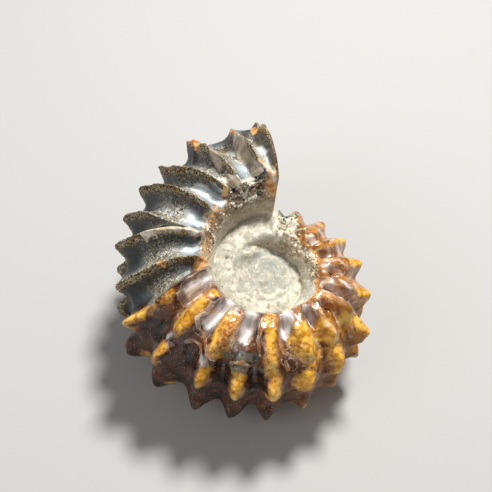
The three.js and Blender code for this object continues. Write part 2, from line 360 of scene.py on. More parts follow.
# Painted highlights on the grey nacre: pale streaks at the inner ends of a few troughs.
NACRE_HIGHLIGHTS = [
    (0.75, (3.2, 6.9), (1.0, 7.7)), (0.95, (43.4, 7.8), (41.4, 8.9), (38.2, 10.2)),
    (0.8, (33.5, 8.4), (31.5, 9.4)), (0.8, (62.0, 8.8), (60.0, 9.8)), (0.6, (84.0, 8.8), (83.0, 9.7)),
]
# The first, in the grey half, is a slit painted nearly black as painted shade; the rest are slaty.
SLATE_AND_SLIT_SHADE = [
    (0.34, (71.4, 6.3), (71.6, 8.2)), (1.0, (154.5, 5.6), (168.5, 6.1)), (0.9, (158.0, 5.2), (171.5, 4.7)),
    (0.8, (341.0, 5.6), (345.0, 6.6)),
]

MARKS = {kind: laid_out(marks) for kind, marks in (
    ("gold", GOLD), ("lobe", LOBES), ("painted_highlight", PAINTED_HIGHLIGHTS), ("suture", SUTURES), ("orange", ORANGE),
    ("cream", CREAM), ("tan", TAN), ("slate_and_slit_shade", SLATE_AND_SLIT_SHADE), ("nacre_highlight", NACRE_HIGHLIGHTS))}
print(sum(len(marks) for marks in MARKS.values()), "marks of", len(MARKS), "kinds")

# %% Breaks and lumps
# Forms of the upper flank: radius, push outward and width of the edge in millimetres, then places.
FORMS = [
    (0.75, -0.45, 0.2, (11.6, 5.0), (11.4, 8.0), (8.0, 9.2)), (0.6, -0.4, 0.25, (24.0, 5.8), (26.0, 8.1)),
    (0.42, -1.6, 0.3, (71.4, 6.4), (71.5, 7.2), (71.6, 8.3)),
    (0.9, 0.25, 0.4, (76.8, 6.0), (74.7, 7.8), (70.6, 9.9)),
    (1.3, -0.7, 0.5, (4.5, 10.5), (18.0, 10.5), (29.0, 10.3)),
    (0.9, 0.6, 0.5, (30.0, 8.5), (24.5, 9.3), (20.5, 9.9)),
    (1.0, 0.45, 0.35, (2.5, 9.0), (-3.0, 9.6), (-7.0, 10.4)),
    (0.55, 0.45, 0.3, (66.6, 9.9), (64.3, 10.4), (63.3, 11.1)),
    (0.6, 0.4, 0.4, (43.0, 10.6), (50.0, 10.1), (56.0, 10.4)), (2.6, 0.8, 1.6, COILED_LUMP),
    (1.55, -0.4, 0.3, COILED_LUMP), (1.05, 0.45, 0.25, COILED_LUMP), (0.5, -0.25, 0.2, COILED_LUMP),
    (0.5, -1.0, 0.6, (400.0, 7.2)), (0.5, -0.9, 0.6, (428.0, 8.2)), (0.4, -0.9, 0.5, (446.0, 8.6)),
    (1.4, 0.9, 1.3, (25.0, 3.8), (28.4, 4.1)), (1.8, 0.75, 1.6, (111.0, 4.6), (110.0, 3.2)),
]
FORM_MARKS = [(push, edge, laid_out([(radius, *places)])) for radius, push, edge, *places in FORMS]


def form_push(back, point):
    """Push of the breaks and lumps at a place of the upper flank, in millimetres."""
    push = 0.0
    for high, edge, marks in FORM_MARKS:
        depth = depth_in(marks, back, point)
        if depth > 0:
            push += high * smoothstep(depth, 0, edge)
    return push


print(len(FORMS), "breaks and lumps")

# %% [markdown]
# ## Rough and smooth places
#
# The surface is not the same everywhere. Crests in the grey half are chipped and beaded, the
# amber is smooth with soft lumps, and the umbilicus is crumbly. Each of these is a small push
# outward made with noise that is read in millimetres, so that it doesn't grow or shrink with the
# whorl.


# %% Bumps
def noise_at(place, size, octaves=2):
    """Smooth noise from about -1 to 1 at a place, with bumps of that size in millimetres."""
    return noise.fractal(place * (1000 / size), 1.0, 2.0, octaves)


def pebbles_at(place, size):
    """0 between pebbles to about 1 on top of them."""
    distances, _ = noise.voronoi(place * (1000 / size))
    return clamp(1 - distances[0] * 1.6)


def chip_at(place, size):
    """Flat chips, each at its own level from -0.5 to 0.5."""
    return noise.cell(place * (1000 / size)) - 0.5


# The outline point where chalky rock begins, for degrees back from the mouth.
ROCK_BEGINS = ((-90, 10.9), (0, 11.0), (30, 10.8), (60, 11.1), (100, 11.1), (150, 11.0), (180, 10.7),
               (204, 10.1), (220, 9.7), (232, 9.3), (246, 10.0), (256, 10.0), (272, 9.6), (290, 9.3),
               (305, 9.7), (319, 8.9), (325, 7.8), (335, 6.2), (345, 4.5), (1000, 4.5))
CRUMBLY_BACK = (250, 352)     # loose rock sticks to the edge of the umbilicus there
LOWER_CRUMBLY, LOWER_SPREAD = 236, 22     # middle and half length of the same on the lower flank
CREST_WIDTH = 0.22            # half width of the chipped crests, from a rib to midway
INNER_WALL, WHORL_END = (10.2, 11.0), (345, 360)      # points and degrees where the rock takes over


def rock_begins(back):
    for (b0, p0), (b1, p1) in zip(ROCK_BEGINS, ROCK_BEGINS[1:]):
        if back < b1:
            return lerp(p0, p1, (back - b0) / (b1 - b0))
    return ROCK_BEGINS[-1][1]


def crumbly_at(back, point, side):
    """1 where loose rock sticks on, 0 on clean stone."""
    if side < 0:
        return clamp(1.3 - abs(back - LOWER_CRUMBLY) / LOWER_SPREAD) * smoothstep(point, 8.8, 9.8)
    middle, spread = sum(CRUMBLY_BACK) / 2, (CRUMBLY_BACK[1] - CRUMBLY_BACK[0]) / 2
    edge = rock_begins(back)
    return clamp(4 - 4 * abs(back - middle) / spread) * smoothstep(point, edge - 0.5, edge + 0.5)


def crest_at(ridge, point):
    """1 on the line of a rib, 0 away from it and on the shoulder."""
    return clamp(1 - ridge / CREST_WIDTH) * (1 - smoothstep(point, 9.4, 10.2))


CRUMBS_HIGH, PEBBLES_HIGH = 0.55, 0.45    # loose rock on the edge of the umbilicus, in millimetres


def bumps_at(place, back, point, side, rise, ridge):
    """How far the surface is pushed outward by chips, lumps and crumbs, in metres.

    Each push is a height in millimetres times noise whose bumps have a size in millimetres.
    """
    young = 1 - smoothstep(back, THIN_RIBS_END, FULL_RIBS_START)
    inner = max(smoothstep(point, *INNER_WALL), smoothstep(back, *WHORL_END))
    push = 0.05 * noise_at(place, 2.5) * (1 - inner)
    push += young * crest_at(ridge, point) * (0.34 * noise_at(place, 1.6, 3) + 0.22 * pebbles_at(place, 1.1))
    push += (1 - young) * (1 - inner) * rise * 0.20 * noise_at(place, 2.4, 3)
    push += inner * 0.20 * noise_at(place, 2.8, 4)
    crumbly = crumbly_at(back, point, side)
    if crumbly > 0:
        push += crumbly * (CRUMBS_HIGH * noise_at(place, 2.0, 4) + PEBBLES_HIGH * pebbles_at(place, 1.3))
    if side > 0:
        push += form_push(back, point)
    return push * MM


print("loose rock stands up to", CRUMBS_HIGH + PEBBLES_HIGH, "mm high")

# %% [markdown]
# ## Bending a grid into the whorl
#
# A whorl is a tube, and a tube is a grid rolled up. `bmesh.ops.create_grid` makes the grid. Its
# rows become places along the coil, its columns run round the outline from the upper seam over
# the outer edge to the lower seam, and a few last columns close the tube inside the older whorl.
# The rows before the first rib shrink onto the middle of the section: they are the broken mouth.
# The grid keeps its shell coordinates as a UV map, and later steps read them back from it.

# %% Rows and columns
MOUTH_ROWS = 34
END_ROWS = 4
OUTLINE_COLUMNS = 150
FINE_STEPS = 600              # steps that the outline is measured in
INNER_COLUMNS = 6
ROW_STEP = 0.30 * MM
MOUTH_HEART_R = 0.64          # middle of the section that an end closes on, in tip radii
MOUTH_BULGE = 4               # the broken mouth stands out that many degrees in its middle
# A UV map is read best from 0 to 1, so degrees, outline points and places are divided by these.
BACK_SPAN, POINT_SPAN, PLACE_SPAN = 1000, 30, 40
FACE_BACK = (-80, -20)        # the mouth's face is marked with these degrees, middle to edge


def outline_columns():
    """Signed outline points at even steps along the outline, upper seam to lower seam."""
    points = [SEAM * number / FINE_STEPS for number in range(FINE_STEPS + 1)]
    path = [Vector((curve_through(OUTLINE_R, p), curve_through(OUTLINE_Z, p, True))) for p in points]
    lengths = [0.0]
    for here, there in zip(path, path[1:]):
        lengths.append(lengths[-1] + (there - here).length)
    half, columns, index = OUTLINE_COLUMNS // 2, [], 0
    for number in range(half + 1):
        wanted = lengths[-1] * number / half
        while index < FINE_STEPS - 1 and lengths[index + 1] < wanted:
            index += 1
        columns.append(lerp(points[index], points[index + 1],
                            (wanted - lengths[index]) / (lengths[index + 1] - lengths[index])))
    return columns[::-1] + [-p for p in columns[1:]]


def row_places(first, last):
    """Places along the coil: every rib's crest, and even steps between the ribs."""
    places = []
    for rib in range(first, last):
        middle = back_at(rib + 0.5, 5)
        turned = math.radians(rib_back(rib + 1, 5) - rib_back(rib, 5))
        width = turned * curve_through(OUTLINE_R, 5) * size_at(middle)
        steps = max(6, round(width / ROW_STEP))
        places += [rib + step / steps for step in range(steps)]
    return places + [last]


COLUMNS = outline_columns()
print(len(COLUMNS), "columns;", len(row_places(0, 20)), "rows in the last whorl")


# %% The surface in shell coordinates
RIBS_FADE = (343, 366)        # degrees back where the ribs fade out, on the way into the umbilicus
TROUGH_FILL = (5.5, 3.5)      # outline points where a filled trough starts to fill and is full


def section_point(place, signed_point):
    """(degrees back, r, z) in tip radii, and the facts about that place, for one grid point."""
    point, side = abs(signed_point), (1 if signed_point >= 0 else -1)
    back = back_at(place, point)
    r, z = curve_through(OUTLINE_R, point), curve_through(OUTLINE_Z, point, True)
    rise, ridge = rise_at(place, point, back)
    rib = round(place)
    knobs = RIBS[rib][1]
    fade = 1 - 0.9 * smoothstep(back, *RIBS_FADE)
    swell = sum(high * hump(point, at, wide) for at, wide, high in TUBERCLES)
    swell *= knobs * hump(ridge, 0, TUBERCLE_REACH)
    filled = FILLED_TROUGHS.get(int(place), 0) * smoothstep(point, *TROUGH_FILL)
    deep = lerp(curve_through(TROUGH, point), curve_through(OLD_TROUGH, point),
                smoothstep(back, THIN_RIBS_END, FULL_RIBS_START))
    outward = fade * (swell - deep * (1 - rise) * (1 - filled))
    return back, r, z, side, rise, ridge, outward


def shell_place(back, r, z):
    """A place in the coil's own frame, from section coordinates in tip radii."""
    bearing = math.radians(MOUTH_BEARING + back)
    size = size_at(back)
    return Vector((size * r * math.cos(bearing), size * r * math.sin(bearing), size * z))


def surface_place(place, signed_point):
    back, r, z, side, rise, ridge, outward = section_point(place, signed_point)
    away = Vector((r - HEART_R, z - HEART_Z)).normalized()
    smooth = shell_place(back, r + outward * away[0], side * (z + outward * away[1]))
    push = bumps_at(smooth, back, abs(signed_point), side, rise, ridge) / size_at(back)
    if abs(signed_point) < 1:                 # the groove of the outer edge stays even
        push *= abs(signed_point)
    outward += push
    return back, shell_place(back, r + outward * away[0], side * (z + outward * away[1])), rise


# %% Rings and the broken mouth
def ring_at(place):
    """One closed ring round the whorl: degrees back, place, rise and place between ribs."""
    ring = [(*surface_place(place, p), place) for p in COLUMNS]
    upper, lower = ring[0][1], ring[-1][1]
    inside = [(ring[-1][0], lower.lerp(upper, (step + 1) / (INNER_COLUMNS + 1)), 1, place)
              for step in range(INNER_COLUMNS)]
    return ring + inside + ring[:1]


def broken_face_push(place, share):
    """The mouth broke off roughly: the break is uneven, and flush with the shell at its edge."""
    bearing = math.radians(MOUTH_BEARING - 90)
    out_of_mouth = Vector((math.cos(bearing), math.sin(bearing), 0))
    inside = 1 - smoothstep(share, 0.75, 1)
    lumps = 0.9 * noise_at(place, 6, 3) + 0.45 * chip_at(place, 2.2) + 0.3 * noise_at(place, 1.2, 2)
    return out_of_mouth * (inside * lumps * MM)


def closing_rings(ring, count, mouth=False):
    """Rings that shrink from an end of a stretch onto the middle of its section, middle first."""
    heart = shell_place(ring[len(COLUMNS) // 2][0] - (MOUTH_BULGE if mouth else 0), MOUTH_HEART_R, 0)
    rings = []
    for step in range(count):
        share = step / count
        shrunk = [(back, heart.lerp(spot, share), *facts) for back, spot, *facts in ring]
        if mouth:
            shrunk = [(lerp(*FACE_BACK, share), spot + broken_face_push(spot, share), *facts)
                      for _, spot, *facts in shrunk]
        rings.append(shrunk)
    return rings


print("a ring has", len(ring_at(0)), "places")


# %% Bend a grid
def shell_maps(mesh):
    """The two UV maps that keep the shell coordinates."""
    return mesh.loops.layers.uv.new("shell"), mesh.loops.layers.uv.new("ribs")


def add_piece(name, mesh):
    """The finished bmesh as an object of the scene."""
    data = bpy.data.meshes.new(name)
    mesh.to_mesh(data)
    mesh.free()
    piece = bpy.data.objects.new(name, data)
    scene.collection.objects.link(piece)
    print(name, "has", len(data.polygons), "faces")
    return piece


def bend_grid(name, first_rib, last_rib, mouth):
    """One closed stretch of the whorl from rib to rib."""
    stretch = [ring_at(place) for place in row_places(first_rib, last_rib)]
    rings = closing_rings(stretch[0], MOUTH_ROWS if mouth else END_ROWS, mouth) + stretch
    rings += reversed(closing_rings(stretch[-1], END_ROWS))
    rows, columns = len(rings) - 1, len(COLUMNS) + INNER_COLUMNS
    mesh = bmesh.new()
    bmesh.ops.create_grid(mesh, x_segments=rows, y_segments=columns, size=1)
    shell_map, rib_map = shell_maps(mesh)
    spots = [(round((vert.co.x + 1) / 2 * rows), round((vert.co.y + 1) / 2 * columns))
             for vert in mesh.verts]
    for vert, (row, column) in zip(mesh.verts, spots):
        vert.co = rings[row][column][1]
    for face in mesh.faces:
        for loop in face.loops:
            row, column = spots[loop.vert.index]
            signed = COLUMNS[column] if column < len(COLUMNS) else SEAM + 0.5
            back, _, rise, place = rings[row][column]
            loop[shell_map].uv = (back / BACK_SPAN, 0.5 + signed / POINT_SPAN)
            loop[rib_map].uv = (place / PLACE_SPAN, rise)
    bmesh.ops.remove_doubles(mesh, verts=mesh.verts, dist=0.002 * MM)
    bmesh.ops.recalc_face_normals(mesh, faces=mesh.faces)
    return add_piece(name, mesh)


# %% [markdown]
# The last whorl and the one inside it are two stretches that share a ring, because a mesh must
# not run through itself where a boolean is to join it. A low boss of rock fills the innermost
# turns: a profile is spun round the axis, then its face gets the faint ridges of the turns that
# the rock hides.

# %% Last whorl, older whorl and filling
LAST_WHORL_RIBS = (0, 20)
OLDER_WHORL_RIBS = (20, len(RIBS) - 1)
FILLING_RADIUS, FILLING_EDGE, FILLING_MIDDLE = 0.218, 0.150, 0.158   # in tip radii
# How high the rock is piled up at its edge: degrees past the mouth, and millimetres.
FILLET = ((0, 0.8), (25, 1.7), (50, 2.2), (90, 2.0), (135, 1.45), (180, 0.7), (225, 0.1), (280, -0.4),
          (340, -0.2), (360, 0.8))
FILLING_DIVE = 1.1                 # its edge dives under the older whorl by that many millimetres
FILLING_RINGS, FILLING_SPOKES = 22, 120
FILLING_SKIN = (900, 10.9, 39.2)   # degrees back, outline point and place that mark it as rock

last_whorl = bend_grid("last_whorl", *LAST_WHORL_RIBS, mouth=True)
older_whorl = bend_grid("older_whorl", *OLDER_WHORL_RIBS, mouth=False)


def round_coil(spot):
    """(degrees past the mouth, distance from the coil's axis in tip radii)."""
    turn = (math.degrees(math.atan2(spot.y, spot.x)) - MOUTH_BEARING) % 360
    return turn, math.hypot(spot.x, spot.y) / TIP_RADIUS


def buried_turn_ridge(spot):
    """Height of the buried turns under the rock, 0 at a seam to 1 on top of a turn."""
    turn, radius = round_coil(spot)
    if radius < 0.004:
        return 0.5
    turns = math.log(OUTLINE_R[SEAM] / radius) / math.log(WHORL_GROWTH)
    return math.sin(math.pi * ((turns - turn / 360) % 1)) ** 0.7


def fillet_at(spot):
    """Rock piled up against the older whorl, everywhere but below the far wall, in millimetres."""
    turn, radius = round_coil(spot)
    for (t0, high0), (t1, high1) in zip(FILLET, FILLET[1:]):
        if turn <= t1:
            high = lerp(high0, high1, smoothstep(turn, t0, t1))
            shelf = smoothstep(turn, 0, 15) * smoothstep(turn, 75, 35)
            ramp = smoothstep(radius, lerp(0.09, 0.115, shelf), lerp(0.20, 0.155, shelf))
            return high * ramp - FILLING_DIVE * smoothstep(radius, 0.19, FILLING_RADIUS)


def spin_filling():
    """A boss of rock: its profile runs from the lower middle over the edge to the upper middle."""
    mesh = bmesh.new()
    profile = []
    for side, steps in ((-1, range(FILLING_RINGS + 1)), (1, range(FILLING_RINGS, -1, -1))):
        for step in steps:
            share = step / FILLING_RINGS
            height = lerp(FILLING_MIDDLE, FILLING_EDGE, share ** 2)
            profile.append(mesh.verts.new((FILLING_RADIUS * TIP_RADIUS * share, 0,
                                           side * height * TIP_RADIUS)))
    edges = [mesh.edges.new(pair) for pair in zip(profile, profile[1:])]
    bmesh.ops.spin(mesh, geom=profile + edges, cent=(0, 0, 0), axis=(0, 0, 1),
                   angle=2 * math.pi, steps=FILLING_SPOKES, use_merge=True)
    bmesh.ops.remove_doubles(mesh, verts=mesh.verts, dist=0.01 * MM)
    bmesh.ops.recalc_face_normals(mesh, faces=mesh.faces)
    for vert in mesh.verts:
        side = 1 if vert.co.z > 0 else -1
        lift = 0.30 * (buried_turn_ridge(vert.co) - 0.5) + fillet_at(vert.co)
        lift += 0.20 * noise_at(vert.co, 2.6, 4) + 0.10 * noise_at(vert.co, 0.9, 2)
        vert.co.z += side * lift * MM
    shell_map, rib_map = shell_maps(mesh)
    back, point, place = FILLING_SKIN
    for face in mesh.faces:
        for loop in face.loops:
            side = 1 if loop.vert.co.z > 0 else -1
            loop[shell_map].uv = (back / BACK_SPAN, 0.5 + side * point / POINT_SPAN)
            loop[rib_map].uv = (place / PLACE_SPAN, 1)
    return add_piece("filling", mesh)


filling = spin_filling()

# %% [markdown]
# ## One stone
#
# A Boolean modifier joins the three stretches. Its manifold solver takes seconds, and the UV maps
# with the shell coordinates come through. Then the stone is laid down: it leans over until it
# lies on the tips of a few ribs, which are worn flat, so nothing reaches below the ground.


# %% Join and lay down
def joined(name, first, *others):
    for other in others:
        joint = first.modifiers.new(other.name, "BOOLEAN")
        joint.operation, joint.solver, joint.object = "UNION", "MANIFOLD", other
    graph = bpy.context.evaluated_depsgraph_get()
    data = bpy.data.meshes.new_from_object(first.evaluated_get(graph))
    for piece in (first, *others):
        bpy.data.objects.remove(piece)
    data.name = name
    return data


stone_data = joined("fossil_stone", last_whorl, older_whorl, filling)
LAY_DOWN = Matrix.Translation(COIL_PLACE) @ Matrix.Rotation(math.radians(REST_LEAN), 4, "X")
box_low, box_high = cad_box


def inside_box(place):
    """The place, moved onto the frame's box where it would stand out of it."""
    return Vector(clamp(value, low, high) for value, low, high in zip(place, box_low, box_high))


stone_mesh = bmesh.new()
stone_mesh.from_mesh(stone_data)
bmesh.ops.transform(stone_mesh, matrix=LAY_DOWN, verts=stone_mesh.verts)
moved = 0.0
for vert in stone_mesh.verts:
    kept = inside_box(vert.co)
    moved = max(moved, (kept - vert.co).length)
    vert.co = kept
print("the furthest point was", round(moved / MM, 2), "mm outside the frame's box")
print("stone:", len(stone_mesh.faces), "faces,",
      sum(not edge.is_manifold for edge in stone_mesh.edges), "open edges")
bmesh.ops.triangulate(stone_mesh, faces=[face for face in stone_mesh.faces if len(face.verts) > 4])
for face in stone_mesh.faces:
    face.smooth = True
stone_mesh.to_mesh(stone_data)
stone_mesh.free()
stone = bpy.data.objects.new("fossil_stone", stone_data)
scene.collection.objects.link(stone)


# %% [markdown]
# ## What the skin is made of
#
# The Boolean leaves new vertices along the joins, so only now is every vertex asked what it is
# made of. Its shell coordinates come back from the UV map, and each answer becomes a float
# attribute that the materials read: how deep it lies in the grey half, in the chalky rock of the
# umbilicus, in a patch of golden calcite and so on, all in millimetres.

# %% Where the grey ends and where the rock begins
# The last degree back from the mouth that is still grey, at outline points 0 to 12.
GREY_ENDS = (105, 104, 104, 103, 105.5, 110.9, 110.8, 107, 105, 99, 95.4, 94, 94)
ALL_ROCK_BACK = 351           # the older whorl is rock all over from here
DEEPEST = 4                   # a depth in millimetres that counts as far inside
LOWER_TURN = 7                # marks of the lower flank lie this many degrees further back
MOUTH_FACE = -15              # degrees back below which a place is on the face of the mouth
# The brown wall of the umbilicus, partly stain and partly painted shade: outline points, and
# degrees back where it starts and ends.
BROWN_WALL_POINTS, BROWN_WALL_STARTS, BROWN_WALL_ENDS = (9.8, 10.8), (285, 315), (400, 375)


def skin_at(back, signed_point, place, rise):
    """What one place of the skin is made of."""
    point = min(abs(signed_point), SEAM)
    lower = signed_point < 0
    size = 1000 * size_at(back)
    across = math.radians(size * curve_through(OUTLINE_R, point))
    skin = {"grey": clamp((curve_through(GREY_ENDS, point) - back) * across, -DEEPEST, DEEPEST)}
    rock = (arc_at(point) - arc_at(rock_begins(back))) * size
    skin["rock"] = clamp(max(rock, (back - ALL_ROCK_BACK) * across), -DEEPEST, DEEPEST)
    marked = back - LOWER_TURN if lower else back
    for kind, marks in MARKS.items():
        skin[kind] = depth_in(marks, marked, point)
    ridge = abs(place - round(place)) * 2
    if round(place) in SHORT_RIBS:
        ridge = max(ridge, smoothstep(point, *SHORT_RIB_FADES))
    skin["crest"] = (1 - ridge) * (1 - smoothstep(point, 9.4, 10.4))
    skin["rise"] = rise
    skin["face"] = 1.0 if back < MOUTH_FACE else 0.0
    # Stain and painted shade: the far wall and the wall near the mouth are marked to be painted brown.
    wall = smoothstep(point, *BROWN_WALL_POINTS) * smoothstep(back, *BROWN_WALL_STARTS)
    wall *= smoothstep(back, *BROWN_WALL_ENDS)
    young_edge = smoothstep(point, 12.2, 11.0) * smoothstep(back, 70, 25)
    skin["stain_and_shade"] = max(0.6 * wall, 0.8 * young_edge)
    return skin


shell_uvs, rib_uvs = stone_data.uv_layers["shell"].data, stone_data.uv_layers["ribs"].data
vertex_skin = [None] * len(stone_data.vertices)
for loop in stone_data.loops:
    if vertex_skin[loop.vertex_index] is None:
        (u, v), (place_u, rise) = shell_uvs[loop.index].uv, rib_uvs[loop.index].uv
        vertex_skin[loop.vertex_index] = skin_at(BACK_SPAN * u, (v - 0.5) * POINT_SPAN,
                                                 place_u * PLACE_SPAN, rise)
for kind in vertex_skin[0]:
    layer = stone_data.attributes.new(kind, "FLOAT", "POINT")
    layer.data.foreach_set("value", [skin[kind] for skin in vertex_skin])
print("attributes:", ", ".join(vertex_skin[0]))

# %% [markdown]
# ## Nodes in a few words
#
# The materials are built from small node groups. One helper adds a node, links what is a socket
# and sets what is a number. The others say in a word what comes back often: a smooth step, a
# product, a tint laid over a base, noise whose bumps have a size in millimetres, or one of the
# shell coordinates.


# %% Node helpers
def colour(red, green, blue):
    """A colour from the 0 to 255 of a colour picker, as the linear numbers a shader wants."""
    parts = [part / 255 for part in (red, green, blue)]
    return (*[p / 12.92 if p <= 0.04045 else ((p + 0.055) / 1.055) ** 2.4 for p in parts], 1)


class Sheet:
    """A node tree to write on."""

    def __init__(self, tree):
        self.tree = tree

    def feed(self, node, inputs):
        """Links the inputs that are sockets and sets those that are numbers."""
        for socket, value in inputs.items():
            if isinstance(value, bpy.types.NodeSocket):
                self.tree.links.new(value, node.inputs[socket])
            else:
                node.inputs[socket].default_value = value

    def add(self, kind, output=0, inputs=None, **settings):
        node = self.tree.nodes.new("ShaderNode" + kind)
        for name, value in settings.items():
            setattr(node, name, value)
        self.feed(node, inputs or {})
        return node.outputs[output]

    def group(self, group, **inputs):
        """The outputs of a node group that is placed on the sheet."""
        node = self.tree.nodes.new("ShaderNodeGroup")
        node.node_tree = group
        self.feed(node, inputs)
        return node.outputs

    def mix(self, share, first, second):
        """Two colours mixed, where three numbers in brackets are a colour of the picker."""
        first, second = (colour(*tint) if isinstance(tint, tuple) else tint for tint in (first, second))
        return self.add("Mix", 2, {0: share, 6: first, 7: second}, data_type="RGBA")

    def over(self, base, tint, *shares):
        """The base with a tint laid over it, as strongly as the shares multiplied."""
        return self.mix(self.times(*shares), base, tint)

    def two_tone(self, value, low, high, first, second):
        """The first colour where the value is low, the second where it is high."""
        return self.mix(self.step(value, low, high), first, second)

    def blend(self, share, first, second):
        return self.add("Mix", 0, {0: share, 2: first, 3: second}, data_type="FLOAT")

    def math(self, operation, first, second=0.0, third=0.0):
        return self.add("Math", 0, {0: first, 1: second, 2: third}, operation=operation)

    def times(self, first, *others):
        for other in others:
            first = self.math("MULTIPLY", first, other)
        return first

    def times_plus(self, value, factor, start):
        return self.math("MULTIPLY_ADD", value, factor, start)

    def step(self, value, low, high, start=0.0, end=1.0):
        return self.add("MapRange", 0, {"Value": value, "From Min": low, "From Max": high,
                                        "To Min": start, "To Max": end},
                        interpolation_type="SMOOTHSTEP")

    def field(self, name):
        return self.add("Attribute", 2, attribute_name=name)

    def part(self, vector, number):
        """One of the three numbers of a vector or a colour."""
        return self.add("SeparateXYZ", number, {0: vector})

    def back(self):
        """Degrees back from the mouth."""
        return self.times(self.part(self.add("UVMap", uv_map="shell"), 0), float(BACK_SPAN))

    def point(self):
        """The outline point, from 0 to 12 on both flanks."""
        signed = self.math("SUBTRACT", self.part(self.add("UVMap", uv_map="shell"), 1), 0.5)
        return self.times(self.math("ABSOLUTE", signed), float(POINT_SPAN))

    def rib_place(self):
        """The place between ribs: 3.5 is midway between ribs 3 and 4."""
        return self.times(self.part(self.add("UVMap", uv_map="ribs"), 0), float(PLACE_SPAN))

    def streaks(self, size, rib_length, point_length):
        """Noise drawn out along the whorl: a rib and an outline point count as those lengths."""
        place = self.add("CombineXYZ", 0, {0: self.times(self.rib_place(), rib_length),
                                           1: self.times(self.point(), point_length)})
        return self.noise(size, 4.0, place, 0.7)

    def noise(self, size, detail=3.0, place=None, roughness=0.55):
        """Noise from 0 to 1 whose bumps have that size in millimetres."""
        return self.add("TexNoise", 0, {"Vector": place or self.add("TexCoord", 3), "Scale": 1000 / size,
                                        "Detail": detail, "Roughness": roughness})

    def cells(self, size, output=0, feature="F1"):
        return self.add("TexVoronoi", output, {"Vector": self.add("TexCoord", 3), "Scale": 1000 / size},
                        feature=feature)


def new_group(name, inputs, outputs):
    """An empty node group, its sheet and its input sockets."""
    group = bpy.data.node_groups.new(name, "ShaderNodeTree")
    for title, start in inputs.items():
        socket = group.interface.new_socket(title, in_out="INPUT", socket_type="NodeSocketFloat")
        socket.default_value = start
    for title in outputs:
        kind = "NodeSocketColor" if title == "Color" else "NodeSocketFloat"
        group.interface.new_socket(title, in_out="OUTPUT", socket_type=kind)
    return group, Sheet(group), group.nodes.new("NodeGroupInput").outputs


def close_group(sheet, **results):
    sheet.feed(sheet.tree.nodes.new("NodeGroupOutput"), results)
    print("node group", sheet.tree.name, "has", len(sheet.tree.nodes), "nodes")


# %% [markdown]
# A mark's depth is even, but the edge of real calcite is frilled like the sutures of the shell.
# This group shakes a depth with noise and gives back a mask and the thin line along its edge.

# %% Ragged edge group
WIDE_FRILL, FINE_FRILL = 2.6, 0.8     # size of the frills in millimetres
WIDE_REACH, FINE_REACH = 2.6, 1.6     # how far they move an edge, in millimetres

ragged, sheet, given = new_group(
    "ragged_edge", {"Depth": 0.0, "Wobble": 0.6, "Softness": 0.12, "Line": 0.1}, ("Mask", "Line"))
wide = sheet.math("SUBTRACT", sheet.noise(WIDE_FRILL), 0.5)
fine = sheet.math("SUBTRACT", sheet.noise(FINE_FRILL), 0.5)
shake = sheet.times_plus(wide, WIDE_REACH, sheet.times(fine, FINE_REACH))
depth = sheet.times_plus(shake, given["Wobble"], given["Depth"])
mask = sheet.step(depth, sheet.times(given["Softness"], -1.0), given["Softness"])
line = sheet.step(sheet.math("ABSOLUTE", depth), sheet.times(given["Line"], 0.4), given["Line"], 1.0, 0.0)
close_group(sheet, Mask=mask, Line=line)


def marked(sheet, kind, **edge):
    """The mask and the edge line of one kind of mark."""
    return sheet.group(ragged, Depth=sheet.field(kind), **edge)


# %% [markdown]
# The grey half is a thin layer of nacre over dark calcite. Growth lines run along each trough,
# pale specks sit in its middle, and its inner end is pale and bluish, partly a painted sheen. The
# crests are crusted. Painted shade darkens each trough just past a crest, on the crest's older
# side, a few trough ends carry painted highlights, and a narrow slit is painted nearly black.

# %% Grey nacre group
grey_nacre, sheet, _ = new_group("grey_nacre", {}, ("Color", "Roughness", "Coat", "Height"))
point = sheet.point()
streaks = sheet.streaks(0.75, 0.020, 0.0005)
clouds = sheet.noise(3.2)
patches = sheet.noise(1.4, 4.0)
grain = sheet.noise(0.45, 4.0, roughness=0.7)
fine_grain = sheet.noise(0.30, roughness=0.7)
tone = sheet.blend(sheet.step(point, 6.2, 8.6, 0.25, 0.6), clouds, streaks)
base = sheet.two_tone(tone, 0.36, 0.64, (28, 33, 36), (138, 151, 156))
# Partly the nacre's bluish tint and partly painted sheen: the inner ends of the trough floors are paler.
pale_end_and_sheen = sheet.times(sheet.step(point, 7.0, 9.2), sheet.step(sheet.field("rise"), 0.75, 0.05))
base = sheet.over(base, (184, 198, 205), pale_end_and_sheen, sheet.step(tone, 0.36, 0.54))
# Painted shade: each trough is darkened just past a crest, on the crest's older side.
shade_below_crest = sheet.step(sheet.math("FRACT", sheet.rib_place()), 0.40, 0.14)
base = sheet.over(base, (15, 16, 17), shade_below_crest, 0.9)
dark_top = sheet.step(sheet.times_plus(clouds, 2.0, point), 6.6, 4.0)
base = sheet.over(base, (28, 29, 29), dark_top, 0.7)

middle = sheet.times(sheet.step(point, 3.6, 5.4), sheet.step(point, 9.4, 7.8))
specks = sheet.times(sheet.step(fine_grain, 0.49, 0.54), sheet.step(clouds, 0.26, 0.42),
                     sheet.times_plus(shade_below_crest, -0.7, 1.0), middle)
speck_colour = sheet.two_tone(sheet.noise(0.9, 2.0), 0.44, 0.56, (196, 160, 100), (244, 236, 208))
base = sheet.over(base, speck_colour, specks, 0.85)
# Painted highlights: near-white streaks on a few trough ends.
nacre_highlight = marked(sheet, "nacre_highlight", Wobble=0.4, Softness=0.4)["Mask"]
nacre_highlight_colour = sheet.two_tone(streaks, 0.36, 0.60, (176, 192, 198), (244, 245, 241))
base = sheet.over(base, nacre_highlight_colour, nacre_highlight, 0.85)
base = sheet.over(base, (225, 220, 205), sheet.step(sheet.noise(0.3, 2.0), 0.68, 0.74), 0.6)

